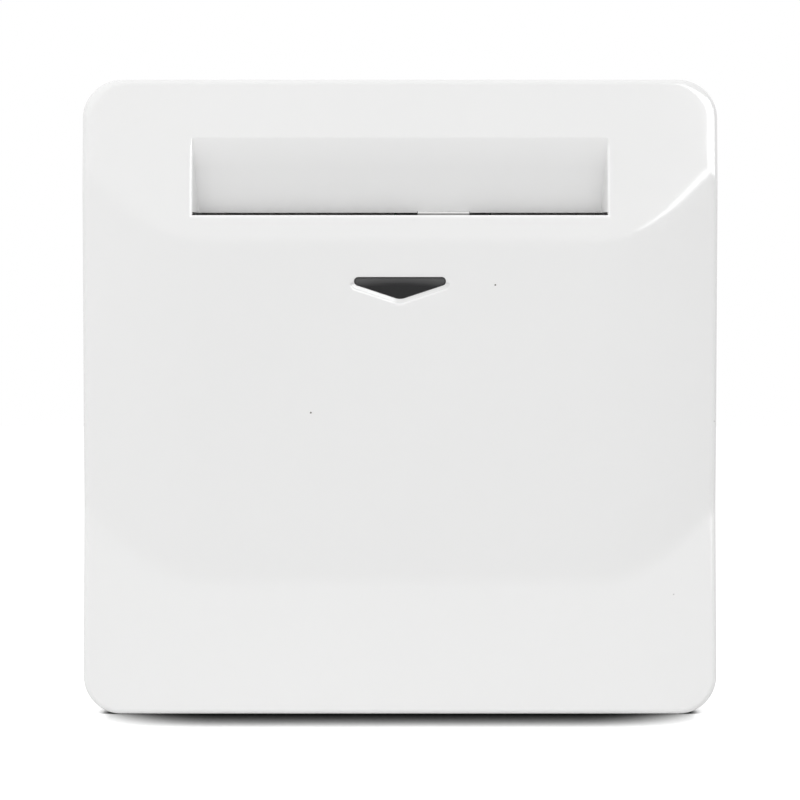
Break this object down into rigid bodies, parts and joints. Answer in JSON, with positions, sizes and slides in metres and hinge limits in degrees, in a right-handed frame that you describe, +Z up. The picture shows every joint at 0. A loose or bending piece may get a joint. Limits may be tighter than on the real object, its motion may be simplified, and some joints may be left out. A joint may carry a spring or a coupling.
{
  "type": "key card switch",
  "caption": "Square flush wall switch worked by a key card: wave-shaped glossy cover with a wide slot and arrow window, trip lever, wall frame and wired housing.",
  "frame": {"origin": "midway between the two fixing screws, on the plane of the wall", "axes": "+Z up, +Y into the wall, +X to the right as seen from the room; the front faces -Y"},
  "size_m": [0.086, 0.0413, 0.086],
  "materials": {
    "cover_white": "gloss moulded",
    "lens_smoke": "smoked clear",
    "inner_white": "fine matt",
    "housing_white": "fine matt",
    "lever_grey": "satin",
    "switch_black": "matt",
    "plunger_red": "matt",
    "board_green": "solder mask",
    "led_clear": "clear",
    "relay_blue": "satin",
    "film_yellow": "satin",
    "can_sleeve": "shrink sleeve",
    "varistor_blue": "dipped",
    "resistor_grey": "lacquered",
    "steel": "zinc plated",
    "brass": "plain"
  },
  "bodies": {
    "base": {"mounting_frame": "inner_white", "rear_housing": "housing_white", "housing_lid": "housing_white", "lever_pin": "steel", "lever_spring": "steel", "switch_body": "switch_black", "circuit_board": "board_green", "led": "led_clear", "led_spacer": "switch_black", "relay": "relay_blue", "film_capacitor": "film_yellow", "electrolytic_1": "can_sleeve", "electrolytic_2": "can_sleeve", "varistor": "varistor_blue", "resistor": "resistor_grey", "timer_chip": "switch_black", "diode_1": "switch_black", "diode_2": "switch_black", "diode_3": "switch_black", "diode_4": "switch_black", "terminal_1": "brass", "terminal_2": "brass", "terminal_3": "brass", "terminal_screw_1": "steel", "terminal_screw_2": "steel", "terminal_screw_3": "steel", "frame_screw_1": "steel", "frame_screw_2": "steel", "frame_screw_3": "steel", "frame_screw_4": "steel", "lid_screw_1": "steel", "lid_screw_2": "steel", "lid_screw_3": "steel", "lid_screw_4": "steel"},
    "cover": {"front_cover": "cover_white", "arrow_lens": "lens_smoke", "card_guide": "inner_white", "guide_screw_1": "steel", "guide_screw_2": "steel", "guide_screw_3": "steel", "guide_screw_4": "steel"},
    "lever": {"trip_lever": "lever_grey"},
    "plunger": {"switch_plunger": "plunger_red"}
  },
  "joints": [
    {"name": "cover_pull", "type": "slide", "parent": "base", "child": "cover", "axis": [0, -1, 0], "range_m": [0, 0.03]},
    {"name": "lever_tilt", "type": "hinge", "parent": "base", "child": "lever", "pos_m": [0.0059, -0.0072, 0.0308], "axis": [1, 0, 0], "range_deg": [0, 10], "stiffness_Nm_per_rad": 0.0067, "springref_deg": -28.65, "deforming": ["lever_spring"]},
    {"name": "plunger_press", "type": "slide", "parent": "base", "child": "plunger", "axis": [0, 1, 0], "range_m": [0, 0.0009]}
  ],
  "couplings": [
    {"joint": "plunger_press", "follows": "lever_tilt", "m_per_rad": 0.00475}
  ]
}
